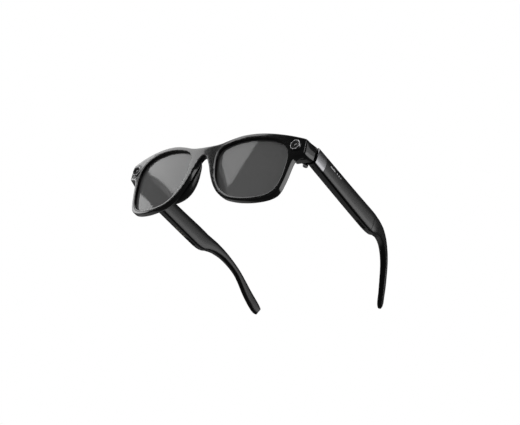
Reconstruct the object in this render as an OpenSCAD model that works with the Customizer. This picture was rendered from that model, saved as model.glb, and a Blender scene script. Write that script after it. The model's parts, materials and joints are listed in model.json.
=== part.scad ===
// Smart glasses: a camera and audio spectacle frame with two folding temples.
// Millimetres. Built as worn, with the temples level along +Y and the front facing -Y,
// then set down on its rims and temple tips, with the origin on the table under its middle.
// Left and right are the wearer's: left is +X.

/* [Front] */
// Width of one lens opening
lens_w = 49.8; // [44:0.2:56]
// Height of one lens opening
lens_h = 40.8; // [34:0.2:46]
// Distance between the two lens openings
bridge_w = 21.4; // [17:0.2:26]
// Radius of the front's curve seen from above
wrap_r = 252; // [200:2:400]
// Forward tilt of the front, in degrees
panto = 7; // [4:0.5:10]
// Depth of the rim, front to back
rim_depth = 4.2; // [3.8:0.1:6]
// How far the lens lies behind the rim's front face
lens_set = 2.0; // [1.2:0.1:2.2]
// Thickness of the lens
lens_t = 1.4; // [1.2:0.1:1.5]
// How far the lens edge reaches into its groove
lens_bite = 0.7; // [0.4:0.1:1]
// Depth of the nose pads behind the rim
pad_depth = 7; // [5:0.5:10]

/* [Corner housings] */
// Height of the corner housing
corner_h = 10.9; // [10.4:0.1:14]
// Distance from the bridge's front to the corner housing's rear face
corner_back = 17.6; // [17:0.2:22]
// Wall of the corner housing
corner_wall = 1.2; // [0.8:0.1:1.6]
// Outer radius of the camera ring
ring_r = 3.4; // [3:0.1:3.8]
// Width of the camera ring's rim
ring_wall = 0.7; // [0.5:0.05:1]
// How far the camera ring stands proud
ring_proud = 1.0; // [0.4:0.1:1.4]

/* [Temples] */
// Length of the part of the temple that holds the electronics
bay_len = 75.9; // [64:0.5:92]
// Length of the ear part behind it, along the temple
ear_len = 64.5; // [54:0.5:78]
// Height of the temple at its front
temple_h = 11.9; // [11:0.1:14]
// Thickness of the temple at its front
temple_t = 7.1; // [6.6:0.1:9]
// Wall of the temple shells
wall = 1.2; // [0.9:0.1:1.4]
// Length of the metal collar at the hinge
collar_len = 9.4; // [8.4:0.2:12]
// Gap between the corner housing and the temple
fold_gap = 1.0; // [0.6:0.1:1.4]

/* [Hinge] */
// Radius of the hinge barrel
barrel_r = 1.65; // [1.4:0.05:1.7]
// Radius of the hinge pin
pin_r = 0.7; // [0.5:0.05:0.9]
// Radial clearance of the pin in the barrel
pin_clear = 0.05; // [0.03:0.01:0.08]
// Height of the temple's knuckle
knuckle_h = 4.4; // [3.6:0.1:5.2]
// Radius of the small fixing screws
screw_r = 0.5; // [0.4:0.05:0.6]

/* [Controls] */
// Length of the capture button
button_len = 9; // [7:0.5:12]
// Width of the capture button
button_w = 2.6; // [2:0.1:3]
// Travel of the capture button
button_travel = 0.4; // [0.2:0.05:0.6]
// Travel of the power slider
slider_travel = 2; // [1.5:0.1:3]
// Radius of one charging contact
contact_r = 0.8; // [0.6:0.05:0.9]
// Distance between charging contacts
contact_pitch = 3.2; // [2.4:0.1:3.6]

/* [Hidden] */
$fn = 48;
eps = 0.01;
fit = 0.1;             // clearance between pieces that seat in each other
left = 1;
right = -1;
black = [0.04, 0.04, 0.045];
soft_black = [0.07, 0.07, 0.075];
steel = [0.62, 0.62, 0.64];
gunmetal = [0.35, 0.35, 0.37];
board_green = [0.05, 0.22, 0.14];
gold = [0.83, 0.67, 0.3];
smoke = [0.18, 0.18, 0.19, 0.6];

// ---- curves -------------------------------------------------------------------------------

// A point at share t between p[i] and p[i + 1] on the Catmull-Rom curve through the points p.
function on_curve(p, i, t) =
    let (a = p[max(i - 1, 0)], b = p[i], c = p[i + 1], d = p[min(i + 2, len(p) - 1)])
    0.5 * (2 * b + (c - a) * t + (2 * a - 5 * b + 4 * c - d) * t * t + (3 * b - a - 3 * c + d) * t * t * t);

// The curve through the points p, n points to each stretch, with its last point.
function curve(p, n) = [
    for (i = [0 : len(p) - 2]) for (k = [0 : n - 1]) on_curve(p, i, k / n),
    p[len(p) - 1],
];

// The closed curve through the points p, n points to each stretch.
function loop(p, n) =
    let (m = len(p), q = [for (i = [-1 : m + 1]) p[(i + m) % m]])
    [for (i = [1 : m]) for (k = [0 : n - 1]) on_curve(q, i, k / n)];

// The closed outline p moved outwards by d. It runs anticlockwise.
function grown(p, d) =
    let (m = len(p))
    [for (i = [0 : m - 1])
        let (t = p[(i + 1) % m] - p[(i + m - 1) % m], l = norm(t)) p[i] + d * [t.y, -t.x] / l];

// ---- front outlines, [x, z] of the left half ----------------------------------------------

// The outlines are drawn for this lens and bridge, and stretched to the sizes asked for.
drawn_lens_w = 49.8;
drawn_lens_h = 40.8;
drawn_bridge_w = 21.4;
drawn_corner_x = 71.4;
drawn_wrap_r = 252;
sill_z = -3;           // above this level the corner keeps its height; below it the lens stretches
function sx(x) = x < drawn_bridge_w / 2 ? x * bridge_w / drawn_bridge_w
    : bridge_w / 2 + (x - drawn_bridge_w / 2) * lens_w / drawn_lens_w;
function sz(z) = z < sill_z ? sill_z + (z - sill_z) * (lens_h - 15.4) / (drawn_lens_h - 15.4) : z;
function stretched(p) = [for (q = p) [sx(q.x), sz(q.y)]];

opening_points = [
    [60.4, -5], [60.2, 0.5], [58.7, 5], [55.2, 8.9], [49, 11.4], [41.7, 12.3], [34, 12.3], [25.8, 11.4],
    [17.8, 9.2], [12.7, 6.2], [10.8, 1.8], [11.4, -5.6], [13.6, -14], [18.2, -21.5], [25.4, -26.7],
    [34, -28.5], [42.8, -28.5], [51, -26.8], [56.6, -22.3], [59.3, -14.6],
];
opening = loop(stretched(opening_points), 4);

brow_points = [
    [-5, 9.7], [0, 9.6], [5, 9.7], [11.5, 10.4], [19, 12.7], [27, 14.7], [36, 15.6], [45, 15.5],
    [52.5, 14.8], [60, 13.8], [66, 12.7], [70.4, 11.8],
];
rim_points = [
    [71.1, 0.5], [69.2, -0.1], [66.6, -0.6], [64.8, -1.9], [63.8, -4.5], [62.9, -9], [62, -14], [60.8, -19],
    [59.6, -22.9], [57.6, -26.2], [54.1, -28.6], [49.7, -30.1], [44.5, -31], [39, -31.3], [33.5, -31],
    [28.2, -30.1], [23.8, -28.8], [20, -26.7], [16.3, -23.8], [12.6, -19.1], [9.8, -14.2], [7.6, -9.4],
    [5.7, -4.6], [3.7, -0.6], [1.9, 2.1], [0, 3], [-1.9, 2.1],
];
brow = [for (q = curve(stretched(brow_points), 4)) if (q.x >= 0) q];
rim = [for (q = curve(stretched(rim_points), 3)) if (q.x >= 0) q];
corner_x = sx(drawn_corner_x);
corner_top = 11.5;
corner_low = corner_top - corner_h;
half_outline = concat(brow, [[corner_x, corner_top - 0.5], [corner_x + 0.1, corner_low + 0.9]], rim);

module mirrored() { children(); mirror([1, 0, 0]) children(); }
module side(s) { if (s == left) children(); else mirror([1, 0, 0]) children(); }

// An [x, z] outline carried along Y from y0 to y1.
module along_y(y0, y1, outline) {
    translate([0, y1, 0]) rotate([90, 0, 0]) linear_extrude(y1 - y0) polygon(outline);
}
// The slice of the tilted, curved front from d0 to d1 behind its front face.
module front_slice(d0, d1) {
    tall = 120;
    rotate([panto, 0, 0]) translate([0, wrap_r, -tall / 2]) difference() {
        cylinder(r = wrap_r - d0, h = tall, $fn = 180);
        translate([0, 0, -1]) cylinder(r = wrap_r - d1, h = tall + 2, $fn = 180);
    }
}
// Where the surface d behind the front face stands at x, z.
function slice_y(d, x, z) = (wrap_r - sqrt(pow(wrap_r - d, 2) - x * x)) / cos(panto) - z * tan(panto);
function front_y(x, z) = slice_y(0, x, z);

// ---- corner housings and hinge -------------------------------------------------------------

// How far back a front of radius r has curved at x. The corner housing goes back with it.
function bow(x, r) = (r - sqrt(r * r - x * x)) / cos(panto);
corner_rear = corner_back + bow(corner_x, wrap_r) - bow(drawn_corner_x, drawn_wrap_r);
corner_in = sx(60.6);                          // inner side of the housing behind the rim
corner_out = corner_x + 2.6;                   // outer side at its rear face
pocket_in = corner_in + corner_wall;
pocket_out = corner_x - 0.4;
pocket_low = corner_low + corner_wall;
pocket_high = corner_top - corner_wall;
pocket_y = front_y(corner_x, 0) + 1.2;          // where the pocket starts behind the front face
cover_t = 1.4;
eye_x = pocket_in + ring_r - 0.8;              // camera and lamp centre
eye_z = (corner_low + corner_top) / 2 + 0.95;
eye_y = front_y(eye_x, eye_z);
temple_y = corner_rear + fold_gap;             // front end of the temple
temple_in = corner_x - 3.9;                    // inner face of the temple at its front
temple_out = temple_in + temple_t;
hinge_x = temple_in - barrel_r - 0.35;
hinge_y = temple_y + 2;
hinge_low = corner_low - 0.5;
hinge_high = corner_top - 0.3;
hinge_mid = (hinge_low + hinge_high) / 2;
knuckle_gap = 0.15;
leaf_t = 0.9;
leaf_out = corner_x - 2.6;

// The solid of the housing: its outer side flares out to the rear.
module corner_block(grow = 0) {
    translate([0, 0, corner_low + grow]) linear_extrude(corner_h - 2 * grow) polygon([
        [corner_in + grow, front_y(corner_in, 0) + 2], [corner_x - grow, front_y(corner_x, 0) + 0.6],
        [corner_out - grow, corner_rear], [corner_in + grow + 1.6, corner_rear],
        [corner_in + grow, corner_rear - 2],
    ]);
}
// The camera's or lamp's own axis: out of the front, tilted with it.
module on_eye_axis(depth) {
    translate([eye_x, eye_y, eye_z]) rotate([panto, 0, 0]) translate([0, -depth, 0])
        rotate([-90, 0, 0]) children();
}
module front_frame() color(black) {
    difference() {
        union() {
            intersection() {
                mirrored() along_y(-5, 40, half_outline);
                front_slice(0, rim_depth);
            }
            mirrored() corner_block();
        }
        mirrored() {
            along_y(-5, 40, opening);
            intersection() {
                along_y(-5, 40, grown(opening, lens_bite + fit));
                front_slice(lens_set - 0.05, lens_set + lens_t + 0.05);
            }
            translate([pocket_in, pocket_y, pocket_low])
                cube([pocket_out - pocket_in, corner_rear - pocket_y + 1, pocket_high - pocket_low]);
            on_eye_axis(4) cylinder(r = ring_r - ring_wall + fit, h = 14);
            on_eye_axis(4) cylinder(r = ring_r + 0.05, h = 4.9);
            leaf_plate(fit);
        }
    }
}
// The bridge and rim solid that a nose pad is glued to bounds the pad in front.
module nose_pad() {
    pad_low = sz(-25);
    pad_high = sz(-3.5);
    back = front_y(10, -12) + rim_depth + pad_depth;
    color(black) intersection() {
        difference() {
            along_y(-5, 40, concat(
                [for (q = rim) if (q.y < pad_high && q.y > pad_low && q.x < bridge_w) q],
                [for (q = grown(opening, 1)) if (q.y < pad_high && q.y > pad_low && q.x < bridge_w) q]));
            front_slice(-30, rim_depth + 0.02);
        }
        rotate([90, 0, 90]) linear_extrude(60) polygon(curve([
            [2, sz(-1)], [6, sz(-3.2)], [back - 2.6, sz(-8.3)], [back, sz(-13)], [back - 0.6, sz(-17)],
            [back - 3.4, sz(-21)], [8, sz(-25)], [4, sz(-29)]], 4));
    }
}
module lens() {
    color(smoke) intersection() {
        along_y(-5, 40, grown(opening, lens_bite));
        front_slice(lens_set, lens_set + lens_t);
    }
}
// Ring, window and what lies behind them, on the eye axis: z runs backwards from the proud face.
module eye_ring() {
    color(steel) on_eye_axis(ring_proud) difference() {
        cylinder(r = ring_r, h = ring_proud + 0.9 - eps);
        translate([0, 0, -1]) cylinder(r = ring_r - ring_wall, h = 5);
    }
}
module eye_window() {
    color(black) on_eye_axis(ring_proud - 0.5) cylinder(r = ring_r - ring_wall - 0.02, h = 0.7);
}
barrel_y = ring_proud - 1.4;
module camera_barrel() {
    color(soft_black) on_eye_axis(barrel_y) difference() {
        cylinder(r = 2, h = pocket_y - eye_y + barrel_y - 0.4);
        translate([0, 0, -1]) cylinder(r = 0.9, h = 2);
    }
}
module lamp_reflector() {
    color("white") on_eye_axis(barrel_y) difference() {
        cylinder(r = 2, h = pocket_y - eye_y + barrel_y - 0.4);
        translate([0, 0, -0.6]) cylinder(r1 = 1.9, r2 = 0.6, h = 2.6);
    }
}
module eye_board() {
    color(board_green)
        translate([pocket_in + 0.3, pocket_y + 0.9, pocket_low + 0.5]) cube([7.4, 0.8, pocket_high - pocket_low - 1]);
    color(soft_black) translate([pocket_in + 1.2, pocket_y + 1.7, pocket_low + 2]) cube([5, 1.1, 4.4]);
}
// Cover over the rear of the corner housing. The hinge leaf is let into it.
module corner_cover() {
    color(black) difference() {
        translate([pocket_in + fit, corner_rear - cover_t, pocket_low + fit])
            cube([pocket_out - pocket_in - 2 * fit, cover_t, pocket_high - pocket_low - 2 * fit]);
        leaf_plate(fit);
        screw_places() rotate([90, 0, 0]) cylinder(r = screw_r + 0.02, h = 10, center = true);
    }
}
leaf_low = corner_low + 0.5;
leaf_high = corner_top - 0.5;
module leaf_plate(grow = 0) {
    translate([hinge_x - barrel_r + 0.2 - grow, corner_rear - leaf_t - grow, leaf_low - grow])
        cube([leaf_out - hinge_x + barrel_r - 0.2 + 2 * grow, leaf_t + 2 * grow, leaf_high - leaf_low + 2 * grow]);
}
module screw_places() {
    for (z = [pocket_low + 1.3, pocket_high - 1.3]) translate([leaf_out - 1.1, corner_rear, z]) children();
}
module knuckle(z0, z1) {
    translate([hinge_x, hinge_y, z0]) cylinder(r = barrel_r, h = z1 - z0);
}
module pin_bore() {
    translate([hinge_x, hinge_y, hinge_low - 1]) cylinder(r = pin_r + pin_clear, h = corner_h + 4);
}
module hinge_front_leaf() {
    low_top = hinge_mid - knuckle_h / 2 - knuckle_gap;
    high_bottom = hinge_mid + knuckle_h / 2 + knuckle_gap;
    color(steel) difference() {
        union() {
            leaf_plate();
            for (z = [[hinge_low, low_top], [high_bottom, hinge_high]]) {
                knuckle(z[0], z[1]);
                translate([hinge_x - barrel_r + 0.3, corner_rear - leaf_t, max(z[0], leaf_low)])
                    cube([2.4, hinge_y - corner_rear + leaf_t, min(z[1], leaf_high) - max(z[0], leaf_low)]);
            }
        }
        pin_bore();
        screw_places() rotate([90, 0, 0]) cylinder(r = screw_r + 0.02, h = 10, center = true);
    }
}
module hinge_pin() {
    color(steel) difference() {
        translate([hinge_x, hinge_y, 0]) union() {
            translate([0, 0, hinge_low + 0.2]) cylinder(r = pin_r, h = hinge_high - hinge_low);
            translate([0, 0, hinge_high]) cylinder(r = barrel_r - 0.2, h = 0.6);
        }
        translate([hinge_x, hinge_y, hinge_high + 0.7]) cube([4, 0.4, 0.8], center = true);
    }
}
module corner_screws() {
    color(steel) screw_places() rotate([90, 0, 0]) {
        translate([0, 0, 0]) cylinder(r = screw_r, h = cover_t + 0.3);
        translate([0, 0, -0.3]) cylinder(r = screw_r * 1.7, h = 0.3);
    }
}

// ---- temples --------------------------------------------------------------------------------

// Stations along the left temple: [x, y, z, height, thickness] of the section's centre. The ear
// part's stations are drawn for this bay and ear length and follow the sizes asked for.
drawn_ear_len = 64.5;
bay_end = temple_y + bay_len;
k_ear = ear_len / drawn_ear_len;
mid_x = temple_in + temple_t / 2;
base_z = corner_low - 0.7;
mid_z = base_z + temple_h / 2;
function ear_row(dx, dy, dz, h, t) =
    [mid_x + 0.5 + dx * k_ear, bay_end + dy * k_ear, mid_z + dz * k_ear, h * temple_h / 11.9, t * temple_t / 7.1];
stations = [
    [mid_x, temple_y, mid_z, temple_h, temple_t],
    [mid_x + 0.15, temple_y + bay_len * 0.3, mid_z - 0.05, temple_h + 0.7, temple_t],
    [mid_x + 0.3, temple_y + bay_len * 0.6, mid_z - 0.1, temple_h + 1.4, temple_t],
    [mid_x + 0.45, temple_y + bay_len * 0.86, mid_z, temple_h + 2.2, temple_t],
    ear_row(0.05, -3.5, 0.1, 14.2, 7.1),
    ear_row(-0.05, 1.5, 0.5, 13.4, 7.0),
    ear_row(-0.5, 6.7, 1.6, 11.1, 6.7),
    ear_row(-1.8, 15.1, 2.3, 8.5, 6.1),
    ear_row(-4.5, 26, 0.5, 6.3, 5.5),
    ear_row(-8.6, 38.5, -5.3, 5.4, 5.0),
    ear_row(-13.6, 50.8, -16.3, 7.4, 4.5),
    ear_row(-16.9, 57.6, -22.3, 8.0, 4.2),
    ear_row(-18.4, 60.9, -25, 7.2, 3.6),
    ear_row(-19.1, 62.4, -26.3, 4.8, 2.6),
    ear_row(-19.35, 63, -26.8, 2.4, 1.5),
];
path = curve(stations, 2);
section_n = 24;
// Across and up directions of the section at station i, square to the path.
function unit(v) = v / norm(v);
function xyz(r) = [r[0], r[1], r[2]];
function path_dir(i) = i == 0 ? [0, 1, 0] : unit(xyz(path[min(i + 1, len(path) - 1)]) - xyz(path[i - 1]));
function across(i) = unit(cross(path_dir(i), [0, 0, 1]));
function up(i) = cross(across(i), path_dir(i));
function lobe(c, n) = sign(c) * pow(abs(c), 2 / n);
// Squareness of the section: boxy in the bay, rounder towards the tip.
function square_at(i) = let (s = i / (len(path) - 1)) s < 0.35 ? 6.5 : max(2.6, 6.5 - (s - 0.35) * 7);
function section(i, inset, r) = [
    for (k = [0 : section_n - 1])
        let (a = 360 * (k + 0.5) / section_n, n = square_at(i),
            w = r > 0 ? r : path[i][4] / 2 - inset, h = r > 0 ? r : path[i][3] / 2 - inset)
        xyz(path[i]) + across(i) * w * lobe(cos(a), r > 0 ? 2 : n) + up(i) * h * lobe(sin(a), r > 0 ? 2 : n),
];
// The temple's solid from station i0 to i1; with r it is a round wire on the same path.
module temple_solid(i0 = 0, i1 = len(path) - 1, inset = 0, r = 0) {
    m = section_n;
    rows = i1 - i0;
    points = [for (i = [i0 : i1]) each section(i, inset, r)];
    walls = [
        for (j = [0 : rows - 1]) for (k = [0 : m - 1]) each [
            [j * m + k, (j + 1) * m + k, (j + 1) * m + (k + 1) % m],
            [j * m + k, (j + 1) * m + (k + 1) % m, j * m + (k + 1) % m],
        ]
    ];
    polyhedron(points, concat(walls, [[for (k = [0 : m - 1]) k], [for (k = [m - 1 : -1 : 0]) rows * m + k]]));
}
split_x = temple_out - wall;                   // inner face of the outer cover
bay_in = temple_in + wall;
bay_low = base_z + wall;
bay_high = base_z + temple_h - wall;
bay_front = temple_y + 1.6;
// The temple deepens towards its bulge: its underside at y.
function under_z(y) = mid_z - 0.05 - (temple_h + 2.45 * (y - temple_y) / bay_len) / 2;
bay_back = bay_end - 4;
collar_end = temple_y + collar_len;
collar_r = 30;
module bay_space() {
    translate([bay_in, bay_front, bay_low]) cube([20, bay_back - bay_front, bay_high - bay_low]);
}
// Everything outside the split plane from the temple's front end to y1.
module outer_zone(y1) {
    translate([split_x, temple_y - 1, base_z - 10]) cube([20, y1 - temple_y + 1, temple_h + 20]);
}
// The collar's rear edge is a shallow arc seen from the side.
module collar_zone(grow = 0) {
    translate([split_x - 1, collar_end - collar_r + grow, mid_z]) rotate([0, 90, 0])
        cylinder(r = collar_r, h = 20, $fn = 120);
}
mic_y = temple_y + 3.4;
leaf_y = temple_y + 0.8;
leaf_len = 7;
module temple_leaf_plate(grow = 0) {
    translate([temple_in - 1, leaf_y - grow, hinge_mid - knuckle_h / 2 + 0.05 - grow])
        cube([1.9 + grow, leaf_len + 2 * grow, knuckle_h - 0.1 + 2 * grow]);
}
module leaf_screw_places() {
    for (y = [leaf_y + 3.6, leaf_y + 5.8]) translate([temple_in + 0.3, y, hinge_mid]) children();
}
grille_y = temple_y + bay_len * 0.86;
grille_x = temple_in + 3.9;
module grille_slot(grow = 0) {
    translate([grille_x - 0.9 - grow, grille_y - 5 - grow, base_z - 4])
        cube([1.8 + 2 * grow, 10 + 2 * grow, 4 + wall]);
}
module temple_housing() {
    color(black) difference() {
        temple_solid();
        outer_zone(bay_back + 2);
        bay_space();
        temple_leaf_plate(fit / 2);
        leaf_screw_places() rotate([0, 90, 0]) cylinder(r = screw_r + 0.02, h = 10, center = true);
        translate([grille_x - 1.2, mic_y - 1, base_z - 3]) cube([0.6, 2, 6]);
        grille_slot();
    }
}
module temple_housing_left() color(black) difference() { temple_housing(); slider_slot(fit); }
module temple_housing_right() color(black) side(right) difference() {
    temple_housing();
    translate([button_x, button_y, bay_high - 1]) long_hole(button_len + 0.3, button_w + 0.3, 10);
    contact_places() translate([0, 0, -3]) cylinder(r = contact_r + 0.02, h = 8);
}
module temple_cover() {
    color(black) difference() {
        intersection() { temple_solid(0, 10); outer_zone(bay_back + 2 - 0.02); }
        collar_zone(0.05);
    }
}
module hinge_collar() {
    color(steel) intersection() {
        temple_solid(0, 4);
        outer_zone(collar_end + 5);
        collar_zone();
    }
}
module hinge_temple_leaf() {
    color(steel) difference() {
        union() {
            intersection() {
                temple_leaf_plate();
                translate([temple_in, 0, -50]) cube([10, 60, 100]);
            }
            knuckle(hinge_mid - knuckle_h / 2, hinge_mid + knuckle_h / 2);
            translate([hinge_x, hinge_y - 0.9, hinge_mid - knuckle_h / 2 + 0.05])
                cube([temple_in - hinge_x + 0.5, 1.8, knuckle_h - 0.1]);
        }
        pin_bore();
        leaf_screw_places() rotate([0, 90, 0]) cylinder(r = screw_r + 0.02, h = 10, center = true);
    }
}
module leaf_screws() {
    color(steel) leaf_screw_places() rotate([0, 90, 0]) {
        translate([0, 0, -0.3]) cylinder(r = screw_r, h = wall + 0.4);
        translate([0, 0, -0.6]) cylinder(r = screw_r * 1.6, h = 0.3);
    }
}
core_r = 0.7;
core_from = 11;
core_to = len(path) - 5;
module core_wire() {
    color(steel) temple_solid(core_from, core_to, 0, core_r);
}
module in_bay(x, y, z, size) { translate([bay_in + x, y, bay_low + z]) cube(size); }
bay_w = split_x - bay_in;
bay_h = bay_high - bay_low;
module speaker() {
    color(gunmetal) in_bay(0.1, grille_y - 5.5, 0, [bay_w - 0.3, 10, bay_h - 1.6]);
}
module speaker_mesh() {
    color(gunmetal) difference() {
        translate([grille_x - 0.85, grille_y - 4.95, under_z(grille_y) + 0.3]) cube([1.7, 9.9, 0.5]);
        for (k = [-6 : 6]) translate([grille_x, grille_y + k * 0.7, base_z - 2]) cylinder(r = 0.22, h = 4, $fn = 24);
    }
}
module microphone() {
    color(steel) in_bay(bay_w - 2.9, mic_y - 1.8, 0, [2.6, 3.6, 1.1]);
}
board_y = temple_y + 13;
module main_board() { color(board_green) in_bay(2.4, board_y, 0.5, [0.8, 34, bay_h - 1]); }
module main_chips() {
    color(soft_black) {
        in_bay(3.2, board_y + 3, 1.6, [0.9, 6.5, 6.5 * bay_h / 9.5]);
        in_bay(3.2, board_y + 12, 1.8, [0.9, 8, 6 * bay_h / 9.5]);
        in_bay(3.2, board_y + 23, 2, [0.9, 5, 5 * bay_h / 9.5]);
        in_bay(1.6, board_y + 14, 2, [0.8, 9, 5 * bay_h / 9.5]);
    }
}
module touch_sensor() { color(gold) in_bay(bay_w - 0.2, board_y + 2, 2, [0.2, 28, 5.5 * bay_h / 9.5]); }
slider_y = board_y + 3.6;
slider_z = mid_z + 1;
module slider_slot(grow = 0) {
    translate([temple_in - 2, slider_y - 1.6 - grow, slider_z - 0.9 - grow])
        cube([2 + wall + 1, 3.2 + slider_travel + 2 * grow, 1.8 + 2 * grow]);
}
module power_slider() {
    color(soft_black) {
        translate([temple_in - 0.5, slider_y - 1.6, slider_z - 0.9]) cube([wall + 0.6, 3.2, 1.8]);
        translate([bay_in + 0.1, slider_y - 2.2, slider_z - 1.5]) cube([0.4, 4.4, 3]);
        for (k = [-1 : 1]) translate([temple_in - 0.7, slider_y + k - 0.2, slider_z - 0.7]) cube([0.3, 0.4, 1.4]);
    }
}
module power_switch() {
    color(gunmetal) in_bay(0.6, slider_y - 3.4, slider_z - bay_low - 2.2, [0.9, 8, 4.4]);
}
button_y = temple_y + 18;
button_x = temple_in + temple_t / 2 - 0.3;
button_flange = 0.9;
top_z = base_z + temple_h + 0.25;
module long_hole(len, w, h) {
    for (y = [-1, 1]) translate([0, y * (len - w) / 2, 0]) cylinder(r = w / 2, h = h);
    translate([-w / 2, -(len - w) / 2, 0]) cube([w, len - w, h]);
}
module capture_button() {
    color(soft_black) translate([button_x, button_y, 0]) {
        translate([0, 0, bay_high - 0.6]) long_hole(button_len, button_w, top_z + 1.35 - bay_high);
        translate([-button_w / 2 - 0.5, -button_len / 2 - 0.6, bay_high - button_flange - fit])
            cube([button_w + 1, button_len + 1.2, button_flange]);
    }
}
module button_switch() {
    color(gunmetal)
        in_bay(0.5, button_y - 2.6, bay_h - button_flange - 2 * fit - button_travel - 1.9, [3.6, 5.2, 1.9]);
}
contact_y = grille_y - 12.6;
contact_x = split_x - contact_r - 0.5;
module contact_places() {
    for (k = [-1.5 : 1.5]) translate([contact_x, contact_y + k * contact_pitch, base_z]) children();
}
module charge_contacts() {
    low = under_z(contact_y + 1.5 * contact_pitch) - 0.05;
    color(gold) contact_places() translate([0, 0, low - base_z]) cylinder(r = contact_r, h = bay_low + 0.95 - low);
}
module charge_block() {
    color(soft_black) difference() {
        in_bay(0.3, contact_y - 6.6, 0, [bay_w - 0.5, 13.2, 0.9]);
        contact_places() translate([0, 0, -2]) cylinder(r = contact_r + 0.02, h = 8);
    }
}
module charge_board() { color(board_green) in_bay(0.3, contact_y - 6.6, 1.0, [bay_w - 0.5, 13.2, 0.8]); }
module charge_magnet() { color(steel) in_bay(0.5, contact_y - 5, 1.8, [bay_w - 0.9, 10, 4.5 * bay_h / 9.5]); }
battery_y = temple_y + 24.6;
battery_len = contact_y - 7.6 - battery_y;
module battery() { color(gunmetal) in_bay(0.15, battery_y, 0.3, [bay_w - 0.4, battery_len, bay_h - 0.7]); }

// ---- set down on the table ------------------------------------------------------------------

// The lowest points of the rims and of the temple tips, which both rest on the table.
rim_low = [slice_y(rim_depth, sx(39), sz(-31.3)), sz(-31.3)];
tip_low = [bay_end + 61.17 * k_ear, mid_z - 28.17 * k_ear];
set_pitch = atan2(tip_low.y - rim_low.y, tip_low.x - rim_low.x);
drop = rim_low.y * cos(set_pitch) - rim_low.x * sin(set_pitch);
middle_y = (bay_end + 61.88 * k_ear) / 2;
module placed() {
    translate([0, -middle_y, -drop]) rotate([-set_pitch, 0, 0]) children();
}

placed() front_frame();
placed() nose_pad();  // nose_pad_left
placed() side(right) nose_pad();  // nose_pad_right
placed() lens();  // lens_left
placed() side(right) lens();  // lens_right
placed() eye_ring();  // camera_ring
placed() eye_window();  // camera_window
placed() camera_barrel();
placed() eye_board();  // camera_board
placed() side(right) eye_ring();  // lamp_ring
placed() side(right) eye_window();  // lamp_window
placed() side(right) lamp_reflector();
placed() side(right) eye_board();  // lamp_board
placed() corner_cover();  // corner_cover_left
placed() side(right) corner_cover();  // corner_cover_right
placed() hinge_front_leaf();  // hinge_front_leaf_left
placed() side(right) hinge_front_leaf();  // hinge_front_leaf_right
placed() hinge_pin();  // hinge_pin_left
placed() side(right) hinge_pin();  // hinge_pin_right
placed() corner_screws();  // corner_screws_left
placed() side(right) corner_screws();  // corner_screws_right
placed() temple_housing_left();
placed() temple_cover();  // temple_cover_left
placed() hinge_collar();  // hinge_collar_left
placed() hinge_temple_leaf();  // hinge_temple_leaf_left
placed() leaf_screws();  // leaf_screws_left
placed() speaker();  // speaker_left
placed() speaker_mesh();  // speaker_mesh_left
placed() microphone();  // microphone_left
placed() core_wire();  // core_wire_left
placed() main_board();
placed() main_chips();
placed() touch_sensor();
placed() power_switch();
placed() power_slider();
placed() temple_housing_right();
placed() side(right) temple_cover();  // temple_cover_right
placed() side(right) hinge_collar();  // hinge_collar_right
placed() side(right) hinge_temple_leaf();  // hinge_temple_leaf_right
placed() side(right) leaf_screws();  // leaf_screws_right
placed() side(right) speaker();  // speaker_right
placed() side(right) speaker_mesh();  // speaker_mesh_right
placed() side(right) microphone();  // microphone_right
placed() side(right) core_wire();  // core_wire_right
placed() side(right) battery();
placed() side(right) charge_block();
placed() side(right) charge_contacts();
placed() side(right) charge_board();
placed() side(right) charge_magnet();
placed() side(right) button_switch();
placed() side(right) capture_button();
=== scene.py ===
"""Looks for the smart glasses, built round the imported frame.

Shapes are worked out in the "worn" layout, in millimetres: temples level along +Y, the front
facing -Y, +X the wearer's left. `Worn` then sets them down as the frame has them, in metres.
"""

from __future__ import annotations

import json
import logging
import math
from dataclasses import dataclass, field
from enum import Enum

import bmesh
import bpy
import numpy as np
from mathutils import Matrix, Vector
from mathutils.geometry import delaunay_2d_cdt


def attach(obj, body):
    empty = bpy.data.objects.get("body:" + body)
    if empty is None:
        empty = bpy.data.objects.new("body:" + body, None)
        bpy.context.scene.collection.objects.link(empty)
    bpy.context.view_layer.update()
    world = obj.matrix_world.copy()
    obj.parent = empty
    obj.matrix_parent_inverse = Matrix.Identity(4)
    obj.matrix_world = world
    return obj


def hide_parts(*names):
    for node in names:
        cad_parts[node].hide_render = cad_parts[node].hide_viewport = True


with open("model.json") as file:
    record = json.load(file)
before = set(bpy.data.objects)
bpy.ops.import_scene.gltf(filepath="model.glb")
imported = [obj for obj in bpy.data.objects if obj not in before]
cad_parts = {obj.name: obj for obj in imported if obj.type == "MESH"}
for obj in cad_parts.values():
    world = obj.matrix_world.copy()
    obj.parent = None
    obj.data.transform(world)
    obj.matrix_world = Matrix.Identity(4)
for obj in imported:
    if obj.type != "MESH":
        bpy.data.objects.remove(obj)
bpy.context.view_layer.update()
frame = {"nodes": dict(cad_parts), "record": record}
LOG = logging.getLogger("glasses")
Array = np.ndarray
MM_PER_M = 1000
FEWEST_POINTS = 8
OUTLINE_STEP = 0.7
FILL_STEP = 1.6
FILL_MARGIN = 0.6
WELD_M = 2e-6
DEGENERATE_M = 1e-7
CUT_SHARP = 35.0
POLE = 0.02
STATION_VALUES = 7
Mesh = tuple[Array, list]


# ---- places ---------------------------------------------------------------------------------


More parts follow.
